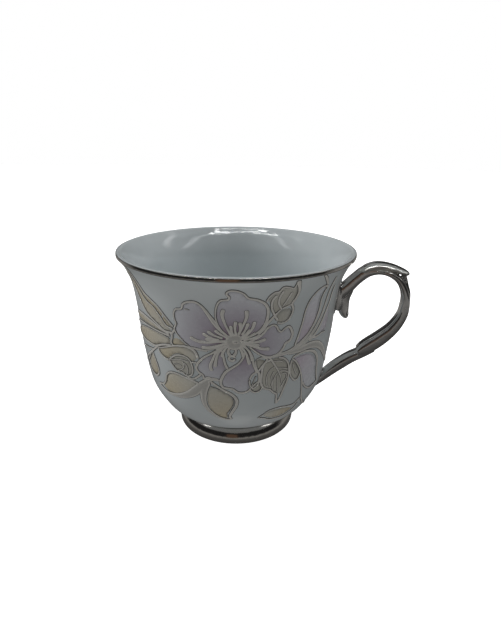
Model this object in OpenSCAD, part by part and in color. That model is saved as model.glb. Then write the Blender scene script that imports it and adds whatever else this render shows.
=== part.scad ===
// Porcelain teacup on a turned foot, with a moulded scroll handle and platinum bands.
// The origin is the centre of the foot's resting plane, +Z is up and the handle points along +X.

/* [Bowl] */
// Outside diameter of the rim
rim_d = 90; // [84:1:96]
// Height from the table to the top of the rim
cup_h = 73.5; // [70:0.5:78]
// Thickness of the wall just above the foot
wall_low = 3.2; // [2.8:0.1:3.6]
// Thickness of the wall at the lip
wall_lip = 1.8; // [1.5:0.1:2.2]

/* [Foot] */
// Height of the foot ring, with its slip joint
foot_h = 9; // [8:0.5:10]
// Width of the flat ring that the cup rests on
rest_w = 1.6; // [1.2:0.1:2]

/* [Handle] */
// Width of the handle's loop, from side to side
loop_w = 6; // [5:0.5:7]
// Width of the thumb rest on top of the loop
thumb_w = 7; // [6:0.5:8]

/* [Bands] */
// Height of the platinum band below the lip
rim_band_h = 0.8; // [0.6:0.1:2]
// Thickness of the platinum bands
band_t = 0.15; // [0.1:0.05:0.3]
// Thickness of the slip that joins the cast pieces
slip_t = 0.4; // [0.3:0.1:0.6]

/* [Hidden] */
porcelain = [0.90, 0.92, 0.94];
platinum = [0.62, 0.60, 0.57];
slip_white = [0.86, 0.87, 0.88];
$fn = 96;

// The knots below are drawn for this rim, height, foot and lip; the factors carry them to other sizes.
drawn_rim_d = 90;
drawn_cup_h = 73.5;
drawn_foot_h = 9;
drawn_wall_lip = 1.8;
wide = rim_d / drawn_rim_d;
high = cup_h / drawn_cup_h;

// Outside of the bowl from the foot to the lip, as [radius, height].
bowl_knots = [
    [21.4, 9], [25.2, 9.3], [27.7, 10.2], [29.2, 11.6], [30.9, 14], [33.2, 18], [34.7, 21.5],
    [35.6, 25], [36.6, 31], [38.1, 43], [38.9, 53], [40.3, 62.5], [42.6, 68.6], [44.9, 72.1]
];
above_foot = (cup_h - foot_h) / (drawn_cup_h - drawn_foot_h);
bowl_out = [for (k = bowl_knots) [k[0] * wide, foot_h + (k[1] - drawn_foot_h) * above_foot]];
wall_steps = 6;

// The lip as offsets from the top of the outside: an upright edge with a rounded top.
lip_knots = [
    [0.11, 0.1], [0.12, 0.28], [0.1, 0.56], [0.06, 0.84], [0.01, 1.07], [-0.12, 1.26], [-0.36, 1.37],
    [-0.7, 1.4], [-1.02, 1.33], [-1.28, 1.16]
];

// Outside of the foot ring from its slip joint down to the resting face, as [radius, height].
foot_knots = [
    [20.9, 8.6], [21.2, 7.5], [21.9, 6.6], [22.7, 5.7], [23.3, 4.7], [23.75, 3.4], [23.98, 1.9],
    [23.9, 0.6], [23.4, 0]
];
foot_top = foot_h - slip_t;
foot_out = [for (k = foot_knots) [k[0] * wide, k[1] * foot_top / foot_knots[0][1]]];
foot_inner_r = 19 * wide;
foot_rest_r = foot_knots[len(foot_knots) - 1][0] * wide - rest_w;
slip_outer_r = 20.7 * wide;

// Each handle stroke is a list of [x, z, half thickness], from the bowl outwards.
loop_path = [
    [35.8, 52.4, 2.8], [39.2, 56.4, 2.6], [42.7, 59.6, 2.45], [45.6, 62.8, 2.25], [48.9, 65.7, 2.2],
    [52.3, 66.5, 1.5], [55.2, 66.3, 1.1], [58.3, 65.5, 1.2], [61.2, 63.6, 1.3], [63.3, 60.5, 1.3],
    [64.5, 57, 1.5], [64.7, 53.5, 1.75], [64.1, 49.3, 1.95], [61.4, 44.1, 2.3], [57.5, 39.8, 2.7],
    [53.9, 36.7, 2.8], [51, 34.6, 2.4], [49, 33.4, 1.4]
];
arm_path = [
    [54.9, 35.2, 1.6], [51, 33, 2.1], [46.5, 30.3, 2.3], [42.2, 26.9, 2.35], [38.6, 23.7, 2.2],
    [35.6, 20.6, 1.9], [32.4, 17.4, 1.5]
];
thumb_path = [
    [47.6, 66.3, 1], [49.5, 67.4, 1.35], [52, 68.3, 1.45], [55, 68.55, 1.35], [58.3, 68, 1.3],
    [61.5, 66.9, 1.25], [63.8, 66.1, 0.95], [64.8, 65.8, 0.5]
];
tail_path = [
    [62.6, 66, 0.9], [63.7, 64, 0.7], [64.6, 61.4, 0.65], [65.5, 58.4, 0.75], [65.8, 55, 0.65],
    [65.5, 52, 0.4]
];
spur_path = [
    [45, 61.6, 1.2], [43.3, 58.9, 2.1], [42, 55.5, 2.3], [41.8, 52.3, 2.3], [42.2, 49.9, 2],
    [43, 48.1, 1.4], [43.5, 47.1, 0.6]
];
pad_path = [
    [39.2, 60.4, 1.5], [39.4, 56.5, 2.2], [39.6, 53, 2.1], [39.6, 51, 1.3], [39.5, 50.1, 0.5]
];
stroke_steps = 4;
section_sides = 16;
pad_share = 1.15;
spur_share = 0.75;
arm_share = 0.9;
tail_share = 0.8;

// A point of a smooth curve through knots k, in span i at t from 0 to 1.
function knot(k, i) =
    i < 0 ? 2 * k[0] - k[1] : i >= len(k) ? 2 * k[len(k) - 1] - k[len(k) - 2] : k[i];
function curve_point(a, b, c, d, t) =
    0.5 * (2 * b + (c - a) * t + (2 * a - 5 * b + 4 * c - d) * t * t
    + (3 * b - a - 3 * c + d) * t * t * t);
function smooth(k, n) = [
    for (i = [0 : len(k) - 2]) for (j = [0 : n - 1])
        curve_point(knot(k, i - 1), knot(k, i), knot(k, i + 1), knot(k, i + 2), j / n),
    k[len(k) - 1]
];

// The unit vector to the left of a curve at knot i, and the curve moved that way by a distance.
function left_of(k, i) =
    let (d = knot(k, i + 1) - knot(k, i - 1)) [-d[1], d[0]] / norm(d);
function moved(k, distance) = [for (i = [0 : len(k) - 1]) k[i] + left_of(k, i) * distance];
function backwards(k) = [for (i = [len(k) - 1 : -1 : 0]) k[i]];

// The wall thins evenly from the foot to the lip.
function wall_at(z) = wall_low + (wall_lip - wall_low) * (z - foot_h) / (cup_h - foot_h);
bowl_in = [
    for (i = [0 : len(bowl_out) - 1]) bowl_out[i] + left_of(bowl_out, i) * wall_at(bowl_out[i][1])
];
floor_z = bowl_in[0][1] - 1;
wall_in = [for (i = [3 : len(bowl_in) - 1]) bowl_in[i]];
inside_knots = concat(
    [[0, floor_z], [12 * wide, floor_z + 0.2], [20.5 * wide, floor_z + 1]], wall_in
);
outside = smooth(bowl_out, wall_steps);
inside = smooth(inside_knots, wall_steps);

lip_from = bowl_out[len(bowl_out) - 1];
lip = [for (k = lip_knots) lip_from + k * wall_lip / drawn_wall_lip];

// The inside of the foot is a shallow dome under the floor of the bowl.
dome_z = floor_z - wall_low;
dome_edge = foot_inner_r - 0.6;
seat_r = foot_inner_r + 0.4;

module bowl() {
    color(porcelain) rotate_extrude() polygon(concat(
        outside, lip, backwards(inside),
        [[0, dome_z], [dome_edge * 0.6, dome_z + 0.3], [dome_edge, foot_h - 0.6], [seat_r, foot_h]]
    ));
}

// A skin of even thickness on the outside of a curve that is followed with the solid on its left.
module skin(line, thickness) {
    rotate_extrude() polygon(concat(line, backwards(moved(line, -thickness))));
}

module rim_band() {
    edge = [for (p = outside) if (p[1] > lip_from[1] - rim_band_h) p];
    over = [for (i = [0 : 5]) lip[i]];
    color(platinum) skin(concat(edge, over), band_t);
}

module foot_slip() {
    color(slip_white) translate([0, 0, foot_top]) difference() {
        cylinder(r = slip_outer_r, h = slip_t);
        translate([0, 0, -1]) cylinder(r = seat_r, h = slip_t + 2);
    }
}

module foot_ring() {
    color(porcelain) rotate_extrude() polygon(concat(
        smooth(foot_out, wall_steps),
        [[foot_rest_r, 0], [foot_rest_r - 0.5, 0.5], [foot_inner_r, foot_top]]
    ));
}

module foot_band() {
    line = [for (p = smooth(foot_out, wall_steps)) if (p[1] > 0.25) p];
    color(platinum) skin(backwards(line), band_t);
}

// The solid of revolution inside the outside of the bowl, moved out by a distance.
module bowl_plug(distance) {
    rim = outside[len(outside) - 1];
    rotate_extrude() polygon(concat(
        [[0, foot_h]], moved(outside, -distance), [[rim[0] + distance, rim[1] + 5], [0, rim[1] + 5]]
    ));
}

// The part of the slip layer under one root of the handle: an oval patch on the bowl.
module slip_patch(z, half_width, half_height) {
    oval = [for (a = [0 : 15 : 345]) [half_width * cos(a), half_height * sin(a)]];
    color(platinum) intersection() {
        difference() {
            bowl_plug(slip_t);
            bowl_plug(0);
        }
        translate([20, 0, z * high]) rotate([90, 0, 90]) linear_extrude(40) polygon(oval);
    }
}

module upper_slip() {
    slip_patch(55.6, loop_w * 0.6, 7);
}

module lower_slip() {
    slip_patch(19.4, loop_w * 0.55, 4.4);
}

// A rounded bar swept along a path in the XZ plane.
// The knots hold x, z and half thickness; rings of points are joined into one closed skin.
module stroke(path, width) {
    line = smooth([for (p = path) [p[0] * wide, p[1] * high, p[2]]], stroke_steps);
    n = section_sides;
    last = len(line) - 1;
    rings = [
        for (i = [0 : last])
            let (
                ahead = knot(line, i + 1) - knot(line, i - 1),
                side = [-ahead[1], ahead[0]] / norm([ahead[0], ahead[1]]),
                ease = min(1, line[i][2] / 1.2)
            )
            for (s = [0 : n - 1])
                let (a = 360 * (s + 0.5) / n)
                [
                    line[i][0] + side[0] * line[i][2] * cos(a),
                    width / 2 * ease * sin(a),
                    line[i][1] + side[1] * line[i][2] * cos(a)
                ]
    ];
    walls = [
        for (i = [0 : last - 1]) for (s = [0 : n - 1])
            let (t = (s + 1) % n)
            each [
                [i * n + s, i * n + t, (i + 1) * n + t],
                [i * n + s, (i + 1) * n + t, (i + 1) * n + s]
            ]
    ];
    caps = [[for (s = [n - 1 : -1 : 0]) s], [for (s = [0 : n - 1]) last * n + s]];
    polyhedron(points = rings, faces = concat(walls, caps));
}

module handle() {
    color(platinum) difference() {
        union() {
            stroke(loop_path, loop_w);
            stroke(arm_path, loop_w * arm_share);
            stroke(thumb_path, thumb_w);
            stroke(spur_path, loop_w * spur_share);
            stroke(tail_path, loop_w * tail_share);
            stroke(pad_path, loop_w * pad_share);
        }
        bowl_plug(slip_t);
    }
}

bowl();
rim_band();
foot_slip();
foot_ring();
foot_band();
upper_slip();
lower_slip();
handle();
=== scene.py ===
import math

import bpy
import numpy as np
from mathutils import Matrix, Vector
from mathutils.geometry import delaunay_2d_cdt


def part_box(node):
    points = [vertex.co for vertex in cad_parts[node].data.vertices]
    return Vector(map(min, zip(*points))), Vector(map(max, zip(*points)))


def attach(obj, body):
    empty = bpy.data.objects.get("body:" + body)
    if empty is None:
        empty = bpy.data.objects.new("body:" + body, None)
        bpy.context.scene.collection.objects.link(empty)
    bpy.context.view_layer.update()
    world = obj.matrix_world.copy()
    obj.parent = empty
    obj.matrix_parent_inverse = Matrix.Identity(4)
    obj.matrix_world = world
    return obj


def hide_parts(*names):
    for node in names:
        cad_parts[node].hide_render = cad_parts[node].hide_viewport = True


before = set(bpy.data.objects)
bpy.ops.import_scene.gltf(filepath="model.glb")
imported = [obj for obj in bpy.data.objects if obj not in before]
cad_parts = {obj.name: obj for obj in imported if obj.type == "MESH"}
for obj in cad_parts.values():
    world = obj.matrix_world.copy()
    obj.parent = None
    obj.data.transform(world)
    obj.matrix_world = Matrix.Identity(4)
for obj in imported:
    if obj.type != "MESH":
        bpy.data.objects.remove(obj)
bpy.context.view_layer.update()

# Shapes are in millimetres, as in the design, and are scaled to metres as they are made. Lamps, the floor
# and the lengths in materials are in metres.
MM = 0.001
BOWL_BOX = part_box("bowl")
CUP_H = BOWL_BOX[1][2] / MM
FOOT_H = BOWL_BOX[0][2] / MM

# ---------------------------------------------------------------- curves


def longer(knots):
    """The knots with one more at each end, straight on."""
    return np.vstack([2 * knots[0] - knots[1], knots, 2 * knots[-1] - knots[-2]])


def smooth(knots, steps, closed=False):
    """Points of a Catmull-Rom curve through the knots."""
    k = np.asarray(knots, float)
    k = np.vstack([k[-1], k, k[0], k[1]]) if closed else longer(k)
    out = []
    for a, b, c, d in zip(k, k[1:], k[2:], k[3:]):
        for t in np.arange(steps) / steps:
            square = (2 * a - 5 * b + 4 * c - d) * t**2
            cube = (3 * b - a - 3 * c + d) * t**3
            out.append(0.5 * (2 * b + (c - a) * t + square + cube))
    if not closed:
        out.append(k[-2])
    return np.array(out)


def left_of(points):
    """Unit vectors to the left of a flat curve at each of its points."""
    d = np.gradient(points, axis=0)
    n = np.stack([-d[:, 1], d[:, 0]], 1)
    return n / np.linalg.norm(n, axis=1)[:, None]


def run_along(points):
    """How far along a curve each of its points is."""
    return np.concatenate([[0], np.cumsum(np.linalg.norm(np.diff(points, axis=0), axis=1))])


def spaced(points, gap):
    """The same curve with its points evenly spaced, and how far along it they are."""
    run = run_along(points)
    at = np.linspace(0, run[-1], max(2, int(run[-1] / gap) + 1))
    return np.stack([np.interp(at, run, column) for column in points.T], 1), at


# ---------------------------------------------------------------- the bowl's surface

# The same knots as the design, as [radius, height].
BOWL_KNOTS = [
    [21.4, 9], [25.2, 9.3], [27.7, 10.2], [29.2, 11.6], [30.9, 14], [33.2, 18], [34.7, 21.5],
    [35.6, 25], [36.6, 31], [38.1, 43], [38.9, 53], [40.3, 62.5], [42.6, 68.6], [44.9, 72.1],
]
FOOT_KNOTS = [
    [20.9, 8.6], [21.2, 7.5], [21.9, 6.6], [22.7, 5.7], [23.3, 4.7], [23.75, 3.4], [23.98, 1.9],
    [23.9, 0.6], [23.4, 0],
]
WALL_LOW = 3.2
WALL_LIP = 1.8
WALL_STEPS = 10
# The spray is laid out round the middle of its flower, on a cylinder of this radius.
FLOWER_AZIMUTH = math.radians(-82)
ROUND_R = 37.0
HANDLE_U = -FLOWER_AZIMUTH * ROUND_R

outside = smooth(BOWL_KNOTS, WALL_STEPS)
outside_normal = -left_of(outside)


def bowl_r(z):
    """The outside radius of the bowl at a height."""
    return np.interp(z, outside[:, 1], outside[:, 0])


def on_bowl(u, z, lift, turn=0.0):
    """A point on the outside of the bowl: u mm round from the flower, z mm up and lift mm proud."""
    azimuth = FLOWER_AZIMUTH + turn + np.asarray(u, float) / ROUND_R
    z = np.asarray(z, float)
    out_r = np.interp(z, outside[:, 1], outside_normal[:, 0])
    out_z = np.interp(z, outside[:, 1], outside_normal[:, 1])
    radius = bowl_r(z) + out_r * lift
    return np.stack([radius * np.cos(azimuth), radius * np.sin(azimuth), z + out_z * lift], -1)


# ---------------------------------------------------------------- meshes

LINE_STEPS = 12
LINE_GAP = 0.3
LINE_RISE = 0.24
LINE_WIDER = 1.18
LINE_EDGE = 1.0
LINE_FULL_RISE = 0.35
LINE_TIP = 0.01
LINE_SQUARENESS = 2.6
LINE_SECTION = (-1.0, -0.86, -0.5, 0.0, 0.5, 0.86, 1.0)
FILL_STEPS = 10
FILL_GAP = 0.6
FILL_CELL = 1.2
FILL_MARGIN = FILL_CELL * 0.35
FILL_RISE = 0.07
FILL_ROUND = 0.5
SKIN_LIFT = 0.01
SKIN_SUNK = 0.12


def placed(name, data):
    """A new object in the scene."""
    thing = bpy.data.objects.new(name, data)
    bpy.context.scene.collection.objects.link(thing)
    return thing


def make_object(name, points, faces, material, slot, replaces=(), uv=None):
    """A mesh piece from points in mm that rides on the cup."""
    mesh = bpy.data.meshes.new(name)
    mesh.from_pydata([tuple(p) for p in np.asarray(points) * MM], [], [tuple(f) for f in faces])
    mesh.validate()
    if uv is not None:
        layer = mesh.uv_layers.new(name="UVMap")
        for loop in mesh.loops:
            layer.data[loop.index].uv = uv[loop.vertex_index]
    mesh.polygons.foreach_set("use_smooth", [True] * len(mesh.polygons))
    piece = placed(name, mesh)
    mesh.materials.append(material)
    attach(piece, "root")
    if replaces:
        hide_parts(*replaces)


def revolve(profile, segments):
    """Points and faces of a closed profile turned round Z; its points at radius 0 become poles."""
    points, rings = [], []
    for r, z in profile:
        if r < 1e-6:
            rings.append([len(points)])
            points.append((0, 0, z))
        else:
            rings.append(list(range(len(points), len(points) + segments)))
            for s in range(segments):
                a = 2 * math.pi * s / segments
                points.append((r * math.cos(a), r * math.sin(a), z))
    faces = []
    closed = len(rings[0]) > 1
    pairs = zip(rings, rings[1:] + ([rings[0]] if closed else []))
    for low, high in pairs:
        if len(low) == len(high) == 1:
            continue
        for s in range(segments):
            t = (s + 1) % segments
            if len(low) == 1:
                faces.append((low[0], high[s], high[t]))
            elif len(high) == 1:
                faces.append((low[s], low[t], high[0]))
            else:
                faces.append((low[s], low[t], high[t], high[s]))
    return points, faces


def tube_faces(count, n):
    """The faces round a row of rings of n points each, with a cap at both ends."""
    faces = []
    for low in range(0, (count - 1) * n, n):
        for s in range(n):
            t = (s + 1) % n
            faces.append((low + s, low + t, low + n + t, low + n + s))
    faces.append(tuple(range(n - 1, -1, -1)))
    faces.append(tuple(range((count - 1) * n, count * n)))
    return faces


def ribbon(line, widths, rise):
    """A raised line on the bowl. Its uv holds how far a point is from the line's edge and its start."""
    line, at = spaced(smooth(line, LINE_STEPS), LINE_GAP)
    total = at[-1]
    width = np.interp(at, np.linspace(0, total, len(widths)), widths)
    half = width / 2 * LINE_WIDER
    from_end = np.minimum(at, total - at)
    cap = np.clip(from_end / np.maximum(half, 1e-6), 0, 1)
    half = half * np.sqrt(1 - (1 - cap) ** 2) + LINE_TIP
    side = left_of(line)
    across = np.array(LINE_SECTION)
    rounded = 1 - np.abs(across) ** LINE_SQUARENESS
    height = rise * np.minimum(1, half / LINE_FULL_RISE)[:, None] * rounded[None, :]
    uz = line[:, None, :] + side[:, None, :] * (half[:, None] * across[None, :])[:, :, None]
    top = (uz[..., 0], uz[..., 1], height + SKIN_LIFT)
    under = uz[:, [0, -1], :]
    flat_u = np.concatenate([top[0], under[:, ::-1, 0]], 1)
    flat_z = np.concatenate([top[1], under[:, ::-1, 1]], 1)
    lift = np.concatenate([top[2], np.full((len(line), 2), -SKIN_SUNK)], 1)
    in_from_edge = 1 - np.abs(np.concatenate([across, [1.0, -1.0]]))
    uv = [(min(1.0, h * a / LINE_EDGE), s / 10) for s, h in zip(at, half) for a in in_from_edge]
    return flat_u.ravel(), flat_z.ravel(), lift.ravel(), tube_faces(len(line), len(across) + 2), uv


def patch(outline, base, reach):
    """An enamel fill on the bowl, pillowed at its edge. Its uv's first value grows from 0 at the base."""
    edge, _ = spaced(smooth(outline, FILL_STEPS, closed=True), FILL_GAP)
    edge = edge[:-1] if np.linalg.norm(edge[0] - edge[-1]) < FILL_GAP / 2 else edge
    low, high = edge.min(0), edge.max(0)
    grid = [
        Vector((x, y))
        for x in np.arange(low[0], high[0], FILL_CELL)
        for y in np.arange(low[1], high[1], FILL_CELL)
        if inside_by(edge, (x, y)) > FILL_MARGIN
    ]
    count = len(edge)
    rim = [(i, (i + 1) % count) for i in range(count)]
    flat, _, tris, *_ = delaunay_2d_cdt([Vector(p) for p in edge] + grid, rim, [], 1, 1e-5)
    flat = np.array([tuple(p) for p in flat])
    lift = np.array([FILL_RISE * min(1, abs(inside_by(edge, p)) / FILL_ROUND) for p in flat])
    n = len(flat)
    lifts = np.concatenate([lift, np.full(n, -SKIN_SUNK)])
    faces = [tuple(t) for t in tris] + [tuple(n + v for v in reversed(t)) for t in tris]
    faces += [(b, a, n + a, n + b) for a, b in rim_loop(tris)]
    gap = np.hypot(flat[:, 0] - base[0], flat[:, 1] - base[1]) / reach
    uv = [(g, z / 10) for g, z in zip(gap, flat[:, 1])] * 2
    return np.tile(flat[:, 0], 2), np.tile(flat[:, 1], 2), lifts, faces, uv


def inside_by(edge, point):
    """The distance from a point to a closed outline, negative outside it."""
    a, b = edge, np.roll(edge, -1, axis=0)
    p = np.asarray(point, float)
    ab = b - a
    t = np.clip(((p - a) * ab).sum(1) / np.maximum((ab**2).sum(1), 1e-12), 0, 1)
    gap = np.linalg.norm(a + ab * t[:, None] - p, axis=1).min()
    crosses = (a[:, 1] > p[1]) != (b[:, 1] > p[1])
    x = a[:, 0] + (p[1] - a[:, 1]) * ab[:, 0] / np.where(ab[:, 1] == 0, 1e-12, ab[:, 1])
    return gap if (crosses & (p[0] < x)).sum() % 2 else -gap


def rim_loop(tris):
    """The directed edges of a triangulation that only one triangle has."""
    seen = {(t[i], t[(i + 1) % len(t)]) for t in tris for i in range(len(t))}
    return [(a, b) for a, b in seen if (b, a) not in seen]


def joined(parts):
    """The points and faces of several parts as one list of each."""
    points, faces = [], []
    for part_points, part_faces in parts:
        start = len(points)
        points.extend(part_points)
        faces.extend(tuple(start + v for v in f) for f in part_faces)
    return points, faces


def decorate(name, parts, material, slot):
    """One piece from many flat parts, laid on the bowl on both sides of the cup."""
    sides = [
        (on_bowl(u, z, lift, turn), faces)
        for turn in (0.0, math.pi)
        for u, z, lift, faces, _ in parts
    ]
    uv = [pair for part in parts for pair in part[4]] * 2
    make_object(name, *joined(sides), material, slot, uv=uv)


# ---------------------------------------------------------------- materials

PAINTED_LIGHT_FADE = 0.6 * MM


def material(name):
    m = bpy.data.materials.new(name)
    m.use_nodes = True
    return m, m.node_tree, m.node_tree.nodes["Principled BSDF"]


def add(tree, kind, **values):
    """A node with its properties and its unlinked inputs set."""
    node = tree.nodes.new(kind)
    for key, value in values.items():
        if hasattr(node, key):
            setattr(node, key, value)
        else:
            node.inputs[key.replace("_", " ")].default_value = value
    return node


def wire(tree, node, **sources):
    """Links each source to the input of that name."""
    for key, source in sources.items():
        tree.links.new(source, node.inputs[key.replace("_", " ")])


def ramp(tree, source, stops):
    node = tree.nodes.new("ShaderNodeValToRGB")
    while len(node.color_ramp.elements) < len(stops):
        node.color_ramp.elements.new(0.5)
    for element, (position, colour) in zip(node.color_ramp.elements, stops):
        element.position = position
        element.color = (*colour, 1)
    tree.links.new(source, node.inputs[0])
    return node.outputs["Color"]


def noise(tree, scale, detail=4.0, roughness=0.55, kind="Object"):
    place = tree.nodes.new("ShaderNodeTexCoord")
    node = add(tree, "ShaderNodeTexNoise", Scale=scale, Detail=detail, Roughness=roughness)
    tree.links.new(place.outputs[kind], node.inputs["Vector"])
    return node.outputs["Fac"]


def axes(tree, kind):
    """The separate X, Y and Z of one kind of texture coordinate."""
    place = tree.nodes.new("ShaderNodeTexCoord")
    parts = tree.nodes.new("ShaderNodeSeparateXYZ")
    tree.links.new(place.outputs[kind], parts.inputs[0])
    return parts.outputs


def scaled(tree, source, low, high, start=0.0, end=1.0):
    """The source, which runs from start to end, mapped to run from low to high, without passing them."""
    node = add(tree, "ShaderNodeMapRange", From_Min=start, From_Max=end, To_Min=low, To_Max=high)
    wire(tree, node, Value=source)
    return node.outputs["Result"]


def bump(tree, shader, source, strength, distance):
    node = add(tree, "ShaderNodeBump", Strength=strength, Distance=distance)
    wire(tree, node, Height=source)
    wire(tree, shader, Normal=node.outputs["Normal"])


def mix(tree, blend, factor, a, b):
    node = tree.nodes.new("ShaderNodeMix")
    node.data_type = "RGBA"
    node.blend_type = blend
    if isinstance(factor, float):
        node.inputs[0].default_value = factor
    else:
        tree.links.new(factor, node.inputs[0])
    for socket, value in ((node.inputs[6], a), (node.inputs[7], b)):
        if isinstance(value, tuple):
            socket.default_value = (*value, 1)
        else:
            tree.links.new(value, socket)
    return node.outputs[2]


def glaze(name, stops, speck=0.0):
    """Clear gloss glaze over porcelain: faint clouds, an orange-peel surface and perhaps dark specks."""
    m, tree, shader = material(name)
    colour = ramp(tree, noise(tree, 60.0), stops)
    if speck:
        place = tree.nodes.new("ShaderNodeTexCoord")
        cells = add(tree, "ShaderNodeTexVoronoi", Scale=speck)
        tree.links.new(place.outputs["Object"], cells.inputs["Vector"])
        spot = ramp(tree, cells.outputs["Distance"], [(0.0, (1, 1, 1)), (0.022, (0, 0, 0))])
        colour = mix(tree, "MIX", spot, colour, (0.16, 0.14, 0.13))
    gloss = scaled(tree, noise(tree, 260.0), 0.05, 0.11)
    wire(tree, shader, Base_Color=colour, Roughness=gloss)
    shader.inputs["IOR"].default_value = 1.52
    shader.inputs["Coat Weight"].default_value = 0.35
    shader.inputs["Coat Roughness"].default_value = 0.05
    bump(tree, shader, noise(tree, 420.0, 2.0), 0.05, 0.0004)
    return m


def maths(tree, operation, a, b=0.0):
    """The output of a math node; a and b are numbers or sockets."""
    node = add(tree, "ShaderNodeMath", operation=operation)
    for socket, value in zip(node.inputs, (a, b)):
        if isinstance(value, (int, float)):
            socket.default_value = value
        else:
            tree.links.new(value, socket)
    return node.outputs[0]


def past(tree, source, edge):
    """A mask that grows from 0 to 1 just past an edge."""
    return scaled(tree, source, 0.0, 1.0, edge, edge + PAINTED_LIGHT_FADE)


def lustre(name, base, tint, roughness, above, beyond, painted_light_colour, painted_light_roughness):
    """Platinum lustre with brown clouds and a fine grain.

    It has a colour of painted light, with its own roughness, above one height and beyond one distance from
    the plane y = 0, both in metres: painted shade on the foot band, a painted highlight on the handle.
    """
    m, tree, shader = material(name)
    colour = ramp(tree, noise(tree, 90.0, 6.0), [(0.35, base), (0.62, base), (0.78, tint)])
    place = axes(tree, "Object")
    aside = maths(tree, "ABSOLUTE", place["Y"])
    # Painted light: past both edges the lustre takes the painted shade or painted highlight colour it is
    # given.
    painted_light_mask = maths(tree, "MULTIPLY", past(tree, place["Z"], above), past(tree, aside, beyond))
    film = mix(tree, "MIX", painted_light_mask, colour, painted_light_colour)
    shader.inputs["Metallic"].default_value = 1.0
    grain = scaled(tree, noise(tree, 700.0, 3.0), roughness * 0.6, roughness * 1.5)
    matt = mix(tree, "MIX", painted_light_mask, grain, (painted_light_roughness,) * 3)
    wire(tree, shader, Base_Color=film, Roughness=matt)
    bump(tree, shader, noise(tree, 500.0, 3.0), 0.12, 0.0004)
    return m


def enamel(name, stops):
    """Translucent colour in the glaze that fades with the distance from the base of its petal or leaf."""
    m, tree, shader = material(name)
    cloud = scaled(tree, noise(tree, 180.0, 5.0), -0.16, 0.16)
    colour = ramp(tree, maths(tree, "ADD", axes(tree, "UV")["X"], cloud), stops)
    gloss = scaled(tree, noise(tree, 600.0), 0.2, 0.34)
    wire(tree, shader, Base_Color=colour, Roughness=gloss)
    shader.inputs["Coat Weight"].default_value = 0.3
    shader.inputs["Coat Roughness"].default_value = 0.1
    bump(tree, shader, noise(tree, 900.0, 4.0), 0.12, 0.0003)
    return m


def raised_metal(name, crest, flank, middle):
    """Satin metal paste with a fired grain: dark at a line's edge, pale inside it, greyer in the middle."""
    m, tree, shader = material(name)
    across = ramp(tree, axes(tree, "UV")["X"], [
        (0.0, flank), (0.11, flank), (0.24, crest), (0.55, crest), (0.9, middle),
    ])
    grain = noise(tree, 2400.0, 4.0, 0.7)
    mottle = scaled(tree, grain, 0.72, 1.2)
    colour = mix(tree, "MULTIPLY", 1.0, across, mottle)
    shader.inputs["Metallic"].default_value = 0.3
    rough = scaled(tree, noise(tree, 1500.0), 0.34, 0.58)
    wire(tree, shader, Base_Color=colour, Roughness=rough)
    bump(tree, shader, grain, 0.35, 0.0002)
    return m


PORCELAIN = glaze("porcelain_glaze", [(0.3, (0.63, 0.68, 0.695)), (0.7, (0.68, 0.725, 0.74))], speck=90.0)
BARE_FOOT = glaze("foot_glaze", [(0.3, (0.60, 0.62, 0.62)), (0.7, (0.66, 0.67, 0.66))])
SILVER = (0.60, 0.58, 0.55)
BROWN_CLOUD = (0.38, 0.29, 0.22)
# Heights above the table, and a distance from y = 0. No part of the cup is past NOWHERE, and all of it is
# past EVERYWHERE.
# Painted shade: the foot band is painted dark above this height, near its joint with the bowl.
FOOT_PAINTED_SHADE_FROM = 5.9 * MM
# Painted highlight: the handle's arch is painted pale above this height and beyond the next distance from y
# = 0.
ARCH_PAINTED_HIGHLIGHT_FROM = 66.3 * MM
SHOULDER_PAINTED_HIGHLIGHT_FROM = 1.4 * MM
NOWHERE = 1.0
EVERYWHERE = -1.0
# The rim band has no painted light, the foot band has painted shade at its joint with the bowl, and the
# handle's arch has a painted highlight, pale and rougher, along its shoulders.
PLATINUM = lustre("rim_lustre", SILVER, BROWN_CLOUD, 0.11, NOWHERE, NOWHERE, SILVER, 0.11)
FOOT_LUSTRE = lustre(
    "foot_lustre", SILVER, BROWN_CLOUD, 0.11, FOOT_PAINTED_SHADE_FROM, EVERYWHERE, (0.05, 0.05, 0.048), 0.15,
)
HANDLE_LUSTRE = lustre(
    "handle_lustre", (0.62, 0.61, 0.60), (0.52, 0.48, 0.44), 0.12,
    ARCH_PAINTED_HIGHLIGHT_FROM, SHOULDER_PAINTED_HIGHLIGHT_FROM, (0.92, 0.91, 0.86), 0.28,
)
SILVER_LINE = raised_metal("silver_paste", (0.95, 0.93, 0.88), (0.06, 0.06, 0.057), (0.70, 0.69, 0.655))
LILAC = enamel("lilac_enamel", [
    (0.0, (0.28, 0.17, 0.24)), (0.25, (0.37, 0.28, 0.355)), (0.5, (0.49, 0.45, 0.52)),
    (0.8, (0.59, 0.58, 0.635)), (1.0, (0.65, 0.66, 0.705)),
])
PINK = enamel("pink_enamel", [
    (0.0, (0.66, 0.59, 0.67)), (0.4, (0.73, 0.71, 0.77)), (1.0, (0.75, 0.78, 0.82)),
])
CREAM = enamel("cream_enamel", [
    (0.0, (0.62, 0.555, 0.41)), (0.4, (0.64, 0.59, 0.475)), (1.0, (0.65, 0.635, 0.565)),
])
GREY_LEAF = enamel("grey_leaf_enamel", [
    (0.0, (0.53, 0.515, 0.455)), (0.5, (0.58, 0.57, 0.515)), (1.0, (0.62, 0.625, 0.585)),
])

# ---------------------------------------------------------------- the flower spray

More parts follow.
